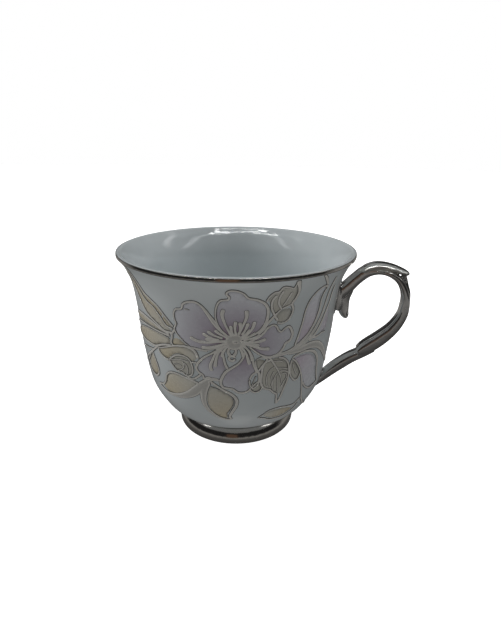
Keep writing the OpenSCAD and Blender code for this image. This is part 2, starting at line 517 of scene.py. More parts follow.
# Flat outlines on the bowl: u is mm round from the middle of the flower, z is mm above the table.
HEART = (0.5, 50.3)
TOP_PETAL = [
    (-1.7, 52.6), (-3.4, 54.4), (-4.7, 57), (-5.1, 60), (-4.6, 63), (-3.4, 65.1), (-1.3, 65.6),
    (-0.9, 66.5), (-1.6, 67.8), (-0.6, 68.9), (1.3, 68.8), (3, 67.8), (4.3, 66.2), (6.8, 65.4),
    (9, 64), (10.2, 62), (10.4, 59.4), (9.7, 56.3), (8, 54), (4, 52),
]
LEFT_PETAL = [
    (-2, 52.8), (-4.5, 55.4), (-6.8, 59), (-9, 62.5), (-11, 63.9), (-13.5, 63.5), (-15, 62.5),
    (-15.8, 60.8), (-17.9, 60.1), (-18.9, 58.4), (-18.9, 56.4), (-18.5, 54.8), (-19.4, 52.4),
    (-17.2, 49.5), (-14, 47.2), (-10.5, 46.6), (-6.5, 47.5), (-3, 49.6),
]
LOWER_PETAL = [
    (-3, 48), (-6.8, 45.8), (-9.6, 43.8), (-11.8, 41.2), (-12.4, 39.2), (-11.6, 37.8), (-10.3, 37),
    (-9.8, 35.5), (-8.4, 36.2), (-6.6, 35.6), (-4.5, 35.5), (-3.9, 37.2), (-2.7, 39.6), (-2.6, 42),
    (-3.2, 44.8), (-2.6, 47),
]
BOTTOM_PETAL = [
    (3.4, 46.6), (3.2, 44.6), (1.8, 42.4), (-0.4, 40.6), (-2.2, 39.2), (-3.5, 37), (-4.2, 34.6),
    (-3.4, 32.7), (-1.6, 32.4), (0, 32), (1.4, 30.8), (3.4, 30.5), (5.2, 31.2), (5.4, 33.6),
    (5.4, 36), (7.4, 38.9), (7, 41), (6.4, 43.6), (5.2, 46.2),
]
RIGHT_PETAL = [
    (4.4, 50.4), (7.5, 52), (9.4, 53.4), (10.6, 54.9), (12.2, 55.8), (13.4, 55.3), (14.2, 53.8),
    (15.2, 53), (16.4, 53.9), (17.8, 54.4), (19, 52.9), (19.5, 51), (18.7, 49.1), (17.1, 48.3),
    (16.5, 46.8), (15, 45), (12.6, 44.1), (10, 44.6), (7.6, 46.2), (5.2, 48.4),
]
HEART_LEAF = [
    (12.4, 43), (10.6, 42.2), (9.7, 40.4), (9.5, 37.4), (9.4, 34.4), (10.6, 31.8), (12.8, 30.8),
    (14.2, 29.4), (16, 28.6), (16.4, 24.4), (17.8, 28), (18.9, 31.2), (19.5, 34), (19.5, 37.4),
    (18.8, 40.2), (17, 42.5), (14.8, 43.4),
]
# Fills, as (outline, base of its colour, how far the colour takes to fade).
PETALS = [
    (TOP_PETAL, HEART, 15.5), (LEFT_PETAL, HEART, 18.5), (LOWER_PETAL, HEART, 15.5),
    (BOTTOM_PETAL, HEART, 19.5), (RIGHT_PETAL, HEART, 17.5),
]
PINK_LEAVES = [
    ([(21, 46.9), (22.2, 50.6), (23.2, 55), (23.7, 59), (24.8, 62.6), (26.8, 65.4), (29.2, 66.6),
      (31.3, 66.1), (29.8, 64), (29.5, 60.6), (29.5, 56.6), (28.2, 52.8), (25.8, 49.8), (23, 47.7)],
     (25, 50.5), 15),
    ([(21.2, 41.3), (24.2, 42), (27.4, 41.6), (30.4, 40.2), (32.8, 37.8), (34.1, 34.8), (34.8, 31.6),
      (36, 29), (38, 26.4), (35.6, 25.3), (32.4, 25.5), (29.4, 27.4), (27.2, 30.6), (25.6, 34), (24, 37.6),
      (22.4, 39.8)], (23, 41), 17),
    ([(33, 51.4), (34.4, 54.4), (35.9, 57.6), (37.4, 56.4), (37.9, 52.6), (37.5, 49), (35.6, 47.9),
      (33.4, 48.6)], (37.4, 51), 9),
]
CREAM_LEAVES = [
    # the fan at the far left
    ([(-20.2, 52.6), (-22.8, 55.6), (-25.6, 58.8), (-28.8, 60.8), (-31.5, 62.2), (-33.6, 65.2),
      (-35.2, 69.6), (-36.8, 70.4), (-35.6, 65.6), (-33.4, 61.9), (-30.8, 59.8), (-27.8, 58.6),
      (-25.2, 56), (-22.8, 53.2)], (-26, 59), 22),
    ([(-20.6, 51.3), (-23, 52.8), (-25.4, 55.8), (-28, 58.2), (-31, 59.3), (-33.8, 61.5), (-36, 65),
      (-37.6, 69.6), (-39.6, 68.6), (-38.4, 63.2), (-36, 59), (-33.6, 55.9), (-30.6, 54.1), (-27, 52.6),
      (-23.8, 51)], (-38, 66), 22),
    ([(-22.6, 50.2), (-26, 51), (-30, 52.2), (-36, 53), (-42, 52.4), (-47.5, 50.2), (-43, 49.9),
      (-37, 50.3), (-31, 50.4), (-26, 50)], (-46, 51), 30),
    ([(-22.3, 48.2), (-26, 48.7), (-31, 48.7), (-37, 48), (-43, 46), (-47.5, 42.6), (-43.6, 43),
      (-38.5, 42.8), (-34.6, 43), (-30.6, 43.4), (-26.8, 45), (-22.4, 46.2)], (-46, 44), 30),
    # the lobe under the left petal, and the small three-sided one beside it
    ([(-28.2, 42.5), (-24, 44.3), (-19.6, 45.9), (-15.6, 46.4), (-12.9, 45.3), (-12, 43.4), (-13.6, 41.6),
      (-15.4, 42.8), (-18.4, 43.6), (-21.4, 42.4), (-23.4, 40.4), (-26.2, 40.4)], (-24, 41), 12),
    ([(-20.3, 48.6), (-18.4, 49.2), (-15.6, 47.4), (-18, 46.7), (-20.6, 46.4)], (-20, 47), 8),
    # lower left
    ([(-33, 39), (-32.1, 36.4), (-31.4, 33.6), (-31.8, 31.2), (-34.6, 29.5), (-38.2, 30.4), (-38.8, 33),
      (-36.6, 36)], (-32, 31), 12),
    ([(-13.2, 33.2), (-17.6, 34.1), (-22.4, 34.3), (-25.6, 32.6), (-27, 29.8), (-29.6, 26.4),
      (-25.4, 24.9), (-20.4, 26), (-16.4, 28.6), (-14, 31.2)], (-26, 25), 14),
    ([(-7.4, 32.7), (-4, 31), (-1, 28.9), (0.2, 26.3), (-0.9, 23.2), (-2.2, 20.8), (-2, 18.4), (-5, 19),
      (-8, 21.6), (-9.4, 25.4), (-9, 29.6)], (-4, 19), 13),
    # near the foot
    ([(12.2, 18.6), (14.2, 20.2), (18, 20.5), (22, 19.8), (25.6, 18), (22, 16), (18, 15.6), (14.4, 16.6)],
     (24, 17.4), 10),
]
GREY_LEAVES = [
    # the bud and its round base
    ([(10.2, 65.4), (11.2, 67.3), (12.8, 68), (13.8, 69.3), (15.4, 69), (17, 68.9), (18.3, 69),
      (18.9, 66.6), (18.2, 63.6), (17.4, 62.2), (14.8, 61.3), (12.8, 60), (11.3, 62.2)], (14, 61), 12),
    ([(12.9, 58.6), (14.4, 60.6), (16.6, 61.4), (17.9, 60.4), (18, 58.4), (16.4, 56.6), (14, 56.5)],
     (13, 57), 7),
    # the heart-shaped leaf, its left lobe and the loop below it
    (HEART_LEAF, (14, 41), 14),
    ([(7.3, 42.9), (8.9, 43.6), (10.4, 42.6), (9.2, 40.6), (8, 39.4), (7.2, 41)], (8, 43), 6),
    ([(6.2, 32), (7.2, 33.9), (8.5, 34.6), (9.6, 33), (9.2, 31.2), (7.5, 30.8)], (8, 34), 6),
    ([(20.3, 41.3), (22.2, 39.4), (24, 36.8), (24.9, 34.6), (24.2, 32.8), (22.8, 32.4), (21.2, 33.8),
      (20.2, 36), (19.9, 38.8)], (20, 41), 11),
    # the veined leaf at the left
    ([(-23, 39.9), (-22, 38), (-20.2, 36.5), (-18, 36.2), (-16.4, 35.5), (-14.8, 36.2), (-14.1, 38.2),
      (-14.3, 40.6), (-15.2, 42.2), (-17, 42.9), (-19.6, 42.5), (-21.6, 41.4)], (-19, 39), 8),
]

# Raised lines, as (points, widths along them).
LEAF_LINE = (0.7, 0.8)
VEIN = (0.55, 0.6)
LINES = [
    # petals
    ([(-1.4, 52.2), *TOP_PETAL[1:-1], (5.4, 52.5), (3, 51.6)], (0.9, 0.6, 0.8, 0.7, 1, 1.1, 0.6)),
    ([(-1.8, 52.6), *LEFT_PETAL[1:]], (0.9, 1.5, 0.9, 0.8, 0.7, 0.7, 0.5, 0.6, 0.9)),
    ([(-3, 48.2), *LOWER_PETAL[1:11]], (1.2, 0.8, 1, 0.9, 0.9, 0.9)),
    ([(3.5, 46.8), *BOTTOM_PETAL[1:13], (6, 32.4)], (0.9, 0.8, 1.1, 1.1, 0.9, 0.9, 0.9)),
    ([(-1.7, 40.1), (-2.5, 42), (-3, 44.6), (-3.4, 47.4)], (1, 0.9, 1)),
    ([(4.4, 50.2), (7.5, 51.6), (9.4, 53.2), *RIGHT_PETAL[3:-1], (5, 48.6)],
     (0.8, 0.9, 0.8, 0.8, 1.1, 1, 1, 0.8, 0.7)),
    ([(6.4, 43.4), (6.7, 41.4), (7.5, 39.4), (8.3, 38.2)], (1, 0.8, 1)),
    ([(-14.9, 60.6), (-13.8, 60.9), (-12.9, 60.6)], (0.5, 0.4)),
    # bud
    ([(9.5, 64.4), (10.2, 66.2), (11.5, 67.7), (12.8, 68), (13.7, 69.5), (15.4, 69.2), (16.9, 68.7),
      (17.3, 70.4), (17, 71.6)], (0.7, 0.8, 0.7, 0.6)),
    ([(17.3, 71.6), (18.4, 69.4), (19.1, 67), (18.7, 64.6), (17.8, 62.8), (18.5, 60.8), (18.3, 58.8),
      (17.2, 57), (15.2, 56.1), (13.5, 56.6)], (1.3, 0.9, 0.9, 0.8, 0.8)),
    ([(14.6, 61.5), (12.4, 59), (10.6, 56.8), (9.2, 54.6), (7.6, 53)], (0.7, 1, 1.2)),
    ([(12.4, 66.8), (11.3, 64.8), (11.4, 62), (12.4, 59.6), (13.7, 57.2)], (0.9, 0.8, 0.9)),
    ([(14.1, 68.3), (13.3, 66), (13.4, 63.4), (14.6, 61.3)], (0.9, 0.8, 0.8)),
    ([(16.9, 67.4), (15.9, 64.6), (14.7, 62.2)], (0.9, 0.6)),
    ([(17.8, 62.6), (16, 62), (14.6, 61.4)], (0.7, 0.7)),
    # stem node at the right, long leaves and the pink petal
    ([(12.4, 44.1), (15, 44.4), (18, 44.7), (20.4, 45.6), (23.6, 47.4), (26.8, 50), (29.2, 53.6),
      (30.4, 57.6), (30.3, 61.4), (30.8, 64.6), (31.6, 66.2)], (1.2, 1.5, 1.3, 1.2, 1.2, 0.9, 0.7)),
    ([(20.8, 46.4), (22.1, 50.4), (23.1, 55), (23.6, 59), (24.7, 62.6), (26.8, 65.5), (29.2, 66.7),
      (31.6, 66.2)], (0.9, 0.8, 0.7, 0.9)),
    ([(18, 44.2), (22, 45.2), (26.2, 47.4), (29.8, 50.8), (32.4, 55), (33.6, 59.6), (34, 64),
      (33.9, 69.4)], (1.4, 1.6, 1.5, 1.2, 0.9)),
    ([(27, 46.8), (30.4, 48.6), (33.2, 52), (35.2, 56), (36.6, 60), (36.6, 65.6)], (1.4, 1.2, 0.9)),
    ([(25.8, 72), (28.4, 69.8), (30.9, 66.9)], (0.7, 1, 0.8)),
    ([(18.4, 44.4), (23, 44.5), (28, 44.8), (32.6, 43.6), (36.6, 40.8), (40.6, 36.8), (44.8, 33),
      (49.6, 29.8)], (1.6, 2.2, 2.6, 2.4, 2, 1.8, 1.2)),
    ([(20.4, 42.1), (24, 43), (28, 42.6), (31.4, 41), (33.9, 38.2), (35.3, 34.8), (36, 31.4), (37.6, 28),
      (38.8, 26), (36, 25), (32.4, 25.2), (29.2, 27.3), (27.4, 29.8)],
     (0.8, 0.9, 1.2, 1.3, 1.1, 0.8, 0.8)),
    ([(29, 47.4), (31.6, 47.2), (34.4, 47.6), (37.2, 47.2)], (0.9, 0.8, 0.5)),
    # stem down to the foot and the leaf there
    ([(20.2, 42), (22.4, 39.8), (24, 37.4), (25.4, 34.6), (26.4, 31.8), (27.3, 28.4), (28, 25),
      (29.2, 21.8), (32, 18.6), (36, 15.8), (41, 13.6), (47, 12)], (0.7, 0.8, 0.9, 0.8, 0.6)),
    ([(9.7, 17.6), (12, 19.4), (14, 20.8), (18, 21.3), (22, 20.6), (25.4, 20.4), (28.4, 22.6)],
     (0.6, 0.8, 0.8, 0.9)),
    ([(9.7, 17.6), (12.4, 16.9), (15, 15.4), (19, 14.7), (23, 14.9), (26.4, 17), (28, 20)],
     (0.6, 0.8, 0.9, 0.8)),
    # heart-shaped leaf and its veins
    ([(9.6, 44.8), (12.4, 43.2), *HEART_LEAF[1:8], (15.6, 28.2), (15.9, 25.8), (16.1, 23.8)],
     (0.7, 0.9, 0.9, 0.8, 0.9)),
    ([(16.1, 23.8), (17.5, 26.6), (18.4, 29.8), (19.4, 32.6), (19.7, 35.6), (19.4, 38.8), (18.6, 41),
      (17, 42.7), (14.8, 43.5)], (1, 0.9, 0.8, 0.8)),
    ([(12.2, 43.4), (13.8, 40.8), (15.4, 38), (16.6, 35.2), (17.2, 32.4)], (0.9, 0.7, 0.5)),
    ([(13, 42.2), (15.4, 42), (17, 41.2)], VEIN),
    ([(14.6, 39.4), (16.8, 38.9), (19.2, 38)], VEIN),
    ([(15.6, 37.8), (17.6, 37.7), (19.6, 36.4)], VEIN),
    ([(16.8, 36.6), (18.4, 36.4), (18.9, 34.6), (17.9, 32.8), (17.2, 31)], VEIN),
    ([(14.2, 40.2), (12.4, 39), (11.4, 36.6), (11.5, 33.6), (12.2, 31.6)], VEIN),
    ([(13.2, 32), (13.4, 34.2), (13.1, 36.4), (13.9, 38.2)], VEIN),
    ([(15.2, 37.6), (14.2, 35.6), (13.7, 33), (14.1, 30.2)], VEIN),
    ([(15.3, 36.6), (15.4, 33.4), (15.9, 29.4)], (0.5, 0.6)),
    ([(7.2, 43.4), (9.2, 44.2), (11, 43.4), (9.6, 41.2), (8.2, 39.2), (7.4, 41.2), (7.2, 43.4)],
     (0.6, 0.7, 0.8, 0.6)),
    ([(5.4, 35.8), (6.4, 37.8), (8.2, 38.8), (8.7, 36.4), (8.4, 33.8), (7, 32.2), (5.8, 33.2),
      (5.4, 35.8)], (0.8, 0.9, 0.7, 0.7)),
    ([(7.6, 37.2), (6.9, 35), (6.2, 33)], (0.5, 0.5)),
    ([(6, 32.2), (7.4, 33.9), (8.8, 34.8), (10, 33), (9.4, 31), (7.6, 30.4), (6, 31.4), (6, 32.2)],
     (0.7, 0.7)),
    ([(8.8, 38.4), (9, 35.6), (9.6, 32.6)], (0.7, 0.7)),
    ([(20.3, 41.4), (20, 38.6), (20.3, 35.8), (21.4, 33.6), (22.9, 32.2), (24.3, 32.6), (25.1, 34.6)],
      LEAF_LINE),
    ([(20.8, 39.8), (21.8, 37.2), (23.3, 34.4)], (0.5, 0.6)),
    # the node under the flower, with the two broad ribbons and the leaves on them
    ([(-4.4, 35.4), (-6.8, 35.7), (-9, 34.6), (-11.4, 32), (-14.4, 29), (-18, 26.6), (-22.4, 25),
      (-27, 24.4), (-30.4, 24.9), (-33, 26.2)], (0.9, 1.6, 3, 3.2, 2.6, 1.9, 1.3, 1, 0.8)),
    ([(-8.8, 35), (-10.2, 31.6), (-10.8, 28), (-10.6, 24.6), (-9, 21.4), (-6.2, 18.9), (-3.2, 17.7),
      (-0.8, 17.7)], (3, 2.8, 2.2, 1.7, 1.4, 1.1, 0.9)),
    ([(-7.8, 34.6), (-4.2, 32), (-0.4, 29.6), (1.2, 27.2), (0.9, 24.6), (-0.5, 21.8), (-1.4, 19.6),
      (-0.8, 17.6)], (1, 1, 1.2, 1.2, 1)),
    ([(-12, 33), (-16, 34.1), (-20.4, 34.9), (-24, 34.4), (-26.4, 32.4), (-27.6, 29.6), (-29.6, 27.4),
      (-33, 26.2)], (1, 0.8, 0.9, 0.8)),
    ([(-7.9, 32.6), (-4, 31.1), (-0.9, 28.9), (0.2, 26.4), (-0.9, 23.3), (-2.3, 20.9), (-2.1, 18.6)],
     (0.4, 0.4)),
    # veined leaf and the lobe over it
    ([(-23.4, 39.8), (-22, 37.8), (-20.2, 36.3), (-18, 36.1), (-16.4, 35.2), (-14.6, 36), (-13.8, 38.2),
      (-14.1, 40.6), (-15, 42.3), (-17, 43.1), (-19.6, 42.7), (-21.8, 41.3), (-23.4, 39.8)], LEAF_LINE),
    ([(-22.8, 39.8), (-20, 40.9), (-17.4, 41.4), (-14.6, 41)], VEIN),
    ([(-20.2, 36.4), (-18, 37.6), (-17, 39.4), (-17.6, 40.9)], VEIN),
    ([(-16.6, 35.4), (-15.8, 37.2), (-16, 39.4), (-17.2, 40.4)], VEIN),
    ([(-22, 38), (-20, 39.2), (-18, 38.8)], (0.4, 0.5)),
    ([(-14.4, 41), (-13, 41.4), (-11.6, 41.2)], LEAF_LINE),
    ([(-16.8, 35.2), (-14.4, 34.5), (-12.4, 35.6), (-10.8, 37.2)], (0.7, 0.9)),
    ([(-28.8, 42.6), (-24, 44.6), (-19.6, 46.3), (-15.6, 46.9), (-12.6, 45.8), (-11.5, 43)],
     (0.6, 0.7, 0.9, 1.2)),
    ([(-28.8, 42.6), (-27.6, 40.8), (-25.4, 39.8), (-23.4, 39.6)], (1, 0.9)),
    ([(-20.6, 46.3), (-18, 46.5), (-15.2, 47), (-12.4, 47), (-8, 46.4)], (0.6, 0.7)),
    # joints and edges of the fan at the left
    ([(-19.2, 53), (-20.2, 51.2), (-21.8, 50.2)], (0.8, 1)),
    ([(-20.6, 51), (-20.8, 49), (-21.4, 47.4), (-20.4, 45.6)], (0.7, 0.9)),
    ([(-19.8, 53.2), (-22.6, 56.1), (-25.6, 59.2), (-28.9, 61.2), (-31.6, 62.7), (-33.8, 65.8),
      (-35.2, 69.6), (-35.4, 71.8)], (0.9, 0.9, 1)),
    ([(-20, 52.4), (-22.9, 53.1), (-25.3, 56), (-28, 58.5), (-31, 59.6), (-33.7, 61.8), (-36, 65.6),
      (-37.2, 70.6)], (0.8, 0.8, 0.9)),
    ([(-20.4, 51), (-23.8, 50.8), (-27.2, 52.4), (-30.8, 53.9), (-33.8, 55.8), (-36.3, 59), (-38.6, 63.2),
      (-40, 68.4)], (0.8, 0.9, 1.1)),
    ([(-21.8, 50), (-26, 51), (-30, 52.3), (-36, 53.1), (-42, 52.5), (-48, 50)], (0.9, 1.1, 0.9)),
    ([(-21.6, 49.4), (-26, 49.6), (-31, 49.8), (-37, 49.7), (-43, 48.6), (-48, 46.6)], (0.9, 0.7, 0.8)),
    ([(-22, 48.4), (-26, 48.9), (-31, 49), (-37, 48.3), (-43, 46.2), (-47.6, 42.6)], (0.5, 0.6)),
    ([(-21.4, 46), (-25.6, 45), (-30, 43.1), (-34.6, 42.7), (-38.6, 42.6), (-43.6, 42.8), (-47.6, 42.4)],
     (0.9, 1, 0.7)),
    ([(-28.4, 43.6), (-31, 41.6), (-34.4, 39), (-37.8, 36.6), (-41, 34.4), (-43.6, 31.4)], (0.9, 1, 0.7)),
    ([(-31.6, 41.3), (-35.4, 40.4), (-39.6, 39.6), (-45, 37.4)], (0.6, 0.5)),
    ([(-33.2, 39.6), (-32, 36.4), (-31.2, 33.6), (-31.6, 31), (-34.6, 29), (-38.6, 30), (-41.4, 32.6)],
     (0.8, 0.9, 0.8)),
    ([(-34.6, 38.6), (-37.4, 35.4), (-40.2, 33.2), (-41.6, 32)], (0.6, 0.7)),
]
# Stamens run from a club-shaped head in to the heart of the flower.
STAMENS = [
    [(-2.6, 62.2), (-3.1, 60), (-2.4, 57), (-1.2, 54.2), (0, 51.8)],
    [(3.9, 61.9), (4, 59.4), (3, 56.4), (1.6, 53)],
    [(6.5, 57.8), (6, 55.6), (4.6, 53.4), (2.8, 51.6)],
    [(0.9, 58), (0.6, 55.6), (1, 52.6)],
    [(4.6, 57.4), (3.9, 55.2), (2.6, 52.8)],
    [(2.1, 57.7), (2.2, 55.4), (1.8, 53)],
    [(5.4, 55), (4, 53.4), (2.4, 52)],
    [(-0.7, 56.4), (-0.4, 54.4), (0.4, 52.2)],
    [(-7.9, 54), (-6, 52.7), (-3, 51.6)],
    [(-9.5, 53), (-7.2, 51.7), (-4, 50.9)],
    [(-5.6, 54.6), (-4, 53.2), (-1.4, 51.8)],
    [(-13.9, 50.9), (-11.6, 49.9), (-8.4, 49.7), (-4, 50.4), (-0.6, 50.8)],
    [(-8.8, 51), (-5.4, 50.6), (-1.6, 50.8)],
    [(-10.2, 47.6), (-7.2, 48), (-3.6, 49.4), (-1, 50.2)],
    [(-5.6, 47.6), (-3.4, 48.4), (-1, 49.6)],
    [(10.4, 51.1), (8, 50.3), (5.2, 50.2), (2, 50.6)],
    [(11.8, 47.3), (9, 47.6), (6.2, 48.7), (3, 50)],
    [(8.6, 52.6), (6.2, 51.7), (3, 51.1)],
    [(7.2, 53.6), (5, 52.4), (2.4, 51.4)],
    [(8.4, 48.8), (5.6, 49.4), (2.4, 50.2)],
    [(-7, 38.9), (-7.4, 41), (-6.6, 43.4), (-5.4, 46.2), (-3, 49.2)],
    [(-5.9, 40.6), (-5.5, 43.2), (-4.6, 46.2), (-2.2, 49.4)],
    [(-3.6, 44.6), (-3, 46.8), (-1.4, 49.2)],
    [(5.4, 41.8), (4.7, 44), (4, 46.4), (2.2, 49.4)],
    [(6.3, 43), (5.7, 45.4), (4.6, 47.6), (2.6, 49.8)],
    [(3.4, 44.8), (2.8, 46.8), (1.6, 49.2)],
    [(-0.8, 45.2), (-1.5, 46.8), (-0.8, 49)],
    [(0.2, 45.3), (0.9, 46.8), (0.8, 49)],
]
STAMEN_WIDTHS = (1.35, 1.05, 0.85, 1.1)
# Round heads, as (middle, radius, line width).
RINGS = [((0.5, 50.4), 1.5, 2.7), ((0.5, 50.5), 0.45, 0.9), ((-0.3, 44.4), 0.95, 0.95)]
STAMEN_RISE = LINE_RISE * 1.4
RING_RISE = LINE_RISE * 1.6
RING_SIDES = 8


def ring_line(middle, radius):
    turns = [2 * math.pi * s / RING_SIDES for s in range(RING_SIDES + 1)]
    return [(middle[0] + radius * math.cos(a), middle[1] + radius * math.sin(a)) for a in turns]


def patches(leaves):
    return [patch(outline, base, reach) for outline, base, reach in leaves]


decorate("lilac_petals", patches(PETALS), LILAC, "lilac_enamel")
decorate("pink_leaves", patches(PINK_LEAVES), PINK, "lilac_enamel")
decorate("cream_leaves", patches(CREAM_LEAVES), CREAM, "cream_enamel")
decorate("grey_leaves", patches(GREY_LEAVES), GREY_LEAF, "cream_enamel")
decorate(
    "raised_lines",
    [ribbon(points, widths, LINE_RISE) for points, widths in LINES],
    SILVER_LINE, "metal_paste",
)
decorate(
    "stamens",
    [ribbon(points, STAMEN_WIDTHS, STAMEN_RISE) for points in STAMENS]
    + [ribbon(ring_line(middle, radius), (width,), RING_RISE) for middle, radius, width in RINGS],
    SILVER_LINE, "metal_paste",
)

# ---------------------------------------------------------------- bowl, foot and bands

LIP_STEPS = 3
ROUND_STEPS = 160
# The rim band runs from this height over so many points of the lip. The foot band starts just off the
# table.
BAND_LOW = 71.9
BAND_OVER = 17
FOOT_BAND_LOW = 0.25
BAND_T = 0.12
BAND_EDGE_T = 0.02
BAND_EASE = 0.25
BAND_DEPTH = 0.1


def wall_at(z):
    return WALL_LOW + (WALL_LIP - WALL_LOW) * (z - FOOT_H) / (CUP_H - FOOT_H)


bowl_knots = np.array(BOWL_KNOTS, float)
knot_side = left_of(longer(bowl_knots))[1:-1]
wall_knots = bowl_knots + knot_side * wall_at(bowl_knots[:, 1])[:, None]
floor_z = wall_knots[0, 1] - 1
floor_knots = [[0, floor_z], [12, floor_z + 0.2], [20.5, floor_z + 1]]
inside = smooth(np.vstack([floor_knots, wall_knots[3:]]), WALL_STEPS)
dome_z = floor_z - WALL_LOW

# The lip as offsets from the top of the outside: an upright edge with a rounded top.
LIP_KNOTS = [
    [0.11, 0.1], [0.12, 0.28], [0.1, 0.56], [0.06, 0.84], [0.01, 1.07], [-0.12, 1.26], [-0.36, 1.37],
    [-0.7, 1.4], [-1.02, 1.33], [-1.28, 1.16],
]
lip = smooth(np.vstack([outside[-1], outside[-1] + np.array(LIP_KNOTS), inside[-1]]), LIP_STEPS)[1:-1]
underside = np.array([[0, dome_z], [8, dome_z + 0.1], [14, dome_z + 0.3], [18.4, 8.4], [19.4, 9]])
bowl_profile = np.vstack([outside, lip, inside[::-1], underside])


def turned_piece(name, profile, material, slot, node):
    make_object(name, *revolve(profile, ROUND_STEPS), material, slot, replaces=[node])


def band(line):
    """A closed profile of a thin skin on the outside of a line, thinner towards both ends."""
    run = run_along(line)
    ease = np.clip(np.minimum(run, run[-1] - run) / BAND_EASE, 0, 1)
    height = BAND_EDGE_T + (BAND_T - BAND_EDGE_T) * np.sqrt(1 - (1 - ease) ** 2)
    out = -left_of(line) * height[:, None]
    return np.vstack([line + out, (line + left_of(line) * BAND_DEPTH)[::-1]])


band_line = np.vstack([
    [[bowl_r(z), z] for z in np.linspace(BAND_LOW, outside[-1, 1], 9)],
    lip[:BAND_OVER],
])
foot_line = smooth(FOOT_KNOTS[::-1], WALL_STEPS)
foot_profile = np.vstack([foot_line, [[19, 8.6], [21.3, 0.5], [21.8, 0]]])
foot_band_line = foot_line[foot_line[:, 1] > FOOT_BAND_LOW]
slip_profile = [[19.4, 8.5], [20.5, 8.5], [20.7, 8.6], [20.7, 9], [20.5, 9.1], [19.4, 9.1]]

turned_piece("bowl_glazed", bowl_profile, PORCELAIN, "porcelain", "bowl")
turned_piece("rim_platinum", band(band_line), PLATINUM, "platinum", "rim_band")
turned_piece("foot_body", foot_profile, BARE_FOOT, "porcelain", "foot_ring")
turned_piece("foot_platinum", band(foot_band_line), FOOT_LUSTRE, "platinum", "foot_band")
turned_piece("foot_joint", slip_profile, BARE_FOOT, "slip", "foot_slip")

# ---------------------------------------------------------------- handle

# Each stroke of the handle is a list of [x, z, half thickness] from the bowl outwards.
LOOP = [
    [38.2, 55.4, 2.6], [39.2, 56.4, 2.6], [42.7, 59.6, 2.45], [45.6, 62.8, 2.25], [48.9, 65.7, 2.2],
    [52.3, 66.5, 1.5], [55.2, 66.3, 1.1], [58.3, 65.5, 1.2], [61.2, 63.6, 1.3], [63.3, 60.5, 1.3],
    [64.5, 57, 1.5], [64.7, 53.5, 1.75], [64.1, 49.3, 1.95], [61.4, 44.1, 2.3], [57.5, 39.8, 2.7],
    [53.9, 36.7, 2.8], [51, 34.6, 2.4], [49, 33.4, 1.4],
]
ARM = [
    [54.9, 35.2, 1.6], [51, 33, 2.1], [46.5, 30.3, 2.3], [42.2, 26.9, 2.35], [38.6, 23.7, 2.2],
    [35.6, 20.6, 1.9], [32.4, 17.4, 1.5],
]
THUMB = [
    [47.6, 66.3, 1], [49.5, 67.4, 1.35], [52, 68.3, 1.45], [55, 68.55, 1.35], [58.3, 68, 1.3],
    [61.5, 66.9, 1.25], [63.8, 66.1, 0.95], [64.8, 65.8, 0.5],
]
TAIL = [
    [62.6, 66, 0.9], [63.7, 64, 0.7], [64.6, 61.4, 0.65], [65.5, 58.4, 0.75], [65.8, 55, 0.65],
    [65.5, 52, 0.4],
]
SPUR = [
    [45, 61.6, 1.2], [43.3, 58.9, 2.1], [42, 55.5, 2.3], [41.8, 52.3, 2.3], [42.2, 49.9, 2],
    [43, 48.1, 1.4], [43.5, 47.1, 0.6],
]
PAD = [[39.2, 60.4, 1.5], [39.4, 56.5, 2.2], [39.6, 53, 2.1], [39.6, 51, 1.3], [39.5, 50.1, 0.5]]
# The strokes, as (path, width, squareness of the section).
STROKES = [
    (LOOP, 6.0, 3.4), (ARM, 5.4, 2.6), (THUMB, 7.0, 2.0),
    (TAIL, 4.8, 2.6), (SPUR, 4.5, 2.6), (PAD, 6.9, 2.6),
]
STROKE_STEPS = 10
# A stroke is narrower where its half thickness is less than this.
FULL_WIDTH_FROM = 1.2
SECTION_SIDES = 40
VOXEL = 0.2
EASE_ROUNDS = 6
EASE_STEPS = (0.5, -0.52)
ROOT_DEPTH = 0.8
BEAD_WIDTH = 1.4
BEAD_RISE = 0.4
BEAD_OVERLAP = 0.2
BEAD_POINTS = 40


def bar(path, width, squareness):
    """Points and faces of a bar with a rounded oblong section, swept along a path in the XZ plane."""
    line = smooth(path, STROKE_STEPS)
    flat = line[:, :2]
    side = left_of(flat)
    around = 2 * math.pi * (np.arange(SECTION_SIDES) + 0.5) / SECTION_SIDES
    across = np.sign(np.cos(around)) * np.abs(np.cos(around)) ** (2 / squareness)
    over = np.sign(np.sin(around)) * np.abs(np.sin(around)) ** (2 / squareness)
    half_width = width / 2 * np.minimum(1, line[:, 2] / FULL_WIDTH_FROM)
    xz = flat[:, None, :] + side[:, None, :] * (line[:, 2:3] * across[None, :])[:, :, None]
    y = half_width[:, None] * over[None, :]
    points = np.stack([xz[..., 0], y, xz[..., 1]], -1).reshape(-1, 3)
    return points, tube_faces(len(line), SECTION_SIDES)


def fused(parts):
    """The points, edges and faces of one closed skin round overlapping solids, by a voxel remesh."""
    points, faces = joined(parts)
    mesh = bpy.data.meshes.new("fusing")
    mesh.from_pydata([tuple(p) for p in points], [], faces)
    holder = placed("fusing", mesh)
    remesh = holder.modifiers.new("Remesh", "REMESH")
    remesh.mode = "VOXEL"
    remesh.voxel_size = VOXEL
    result = bpy.data.meshes.new_from_object(holder.evaluated_get(bpy.context.evaluated_depsgraph_get()))
    out = np.empty(len(result.vertices) * 3)
    result.vertices.foreach_get("co", out)
    edges = np.empty(len(result.edges) * 2, int)
    result.edges.foreach_get("vertices", edges)
    out_faces = [tuple(p.vertices) for p in result.polygons]
    bpy.data.objects.remove(holder)
    bpy.data.meshes.remove(mesh)
    bpy.data.meshes.remove(result)
    return out.reshape(-1, 3), edges.reshape(-1, 2), out_faces


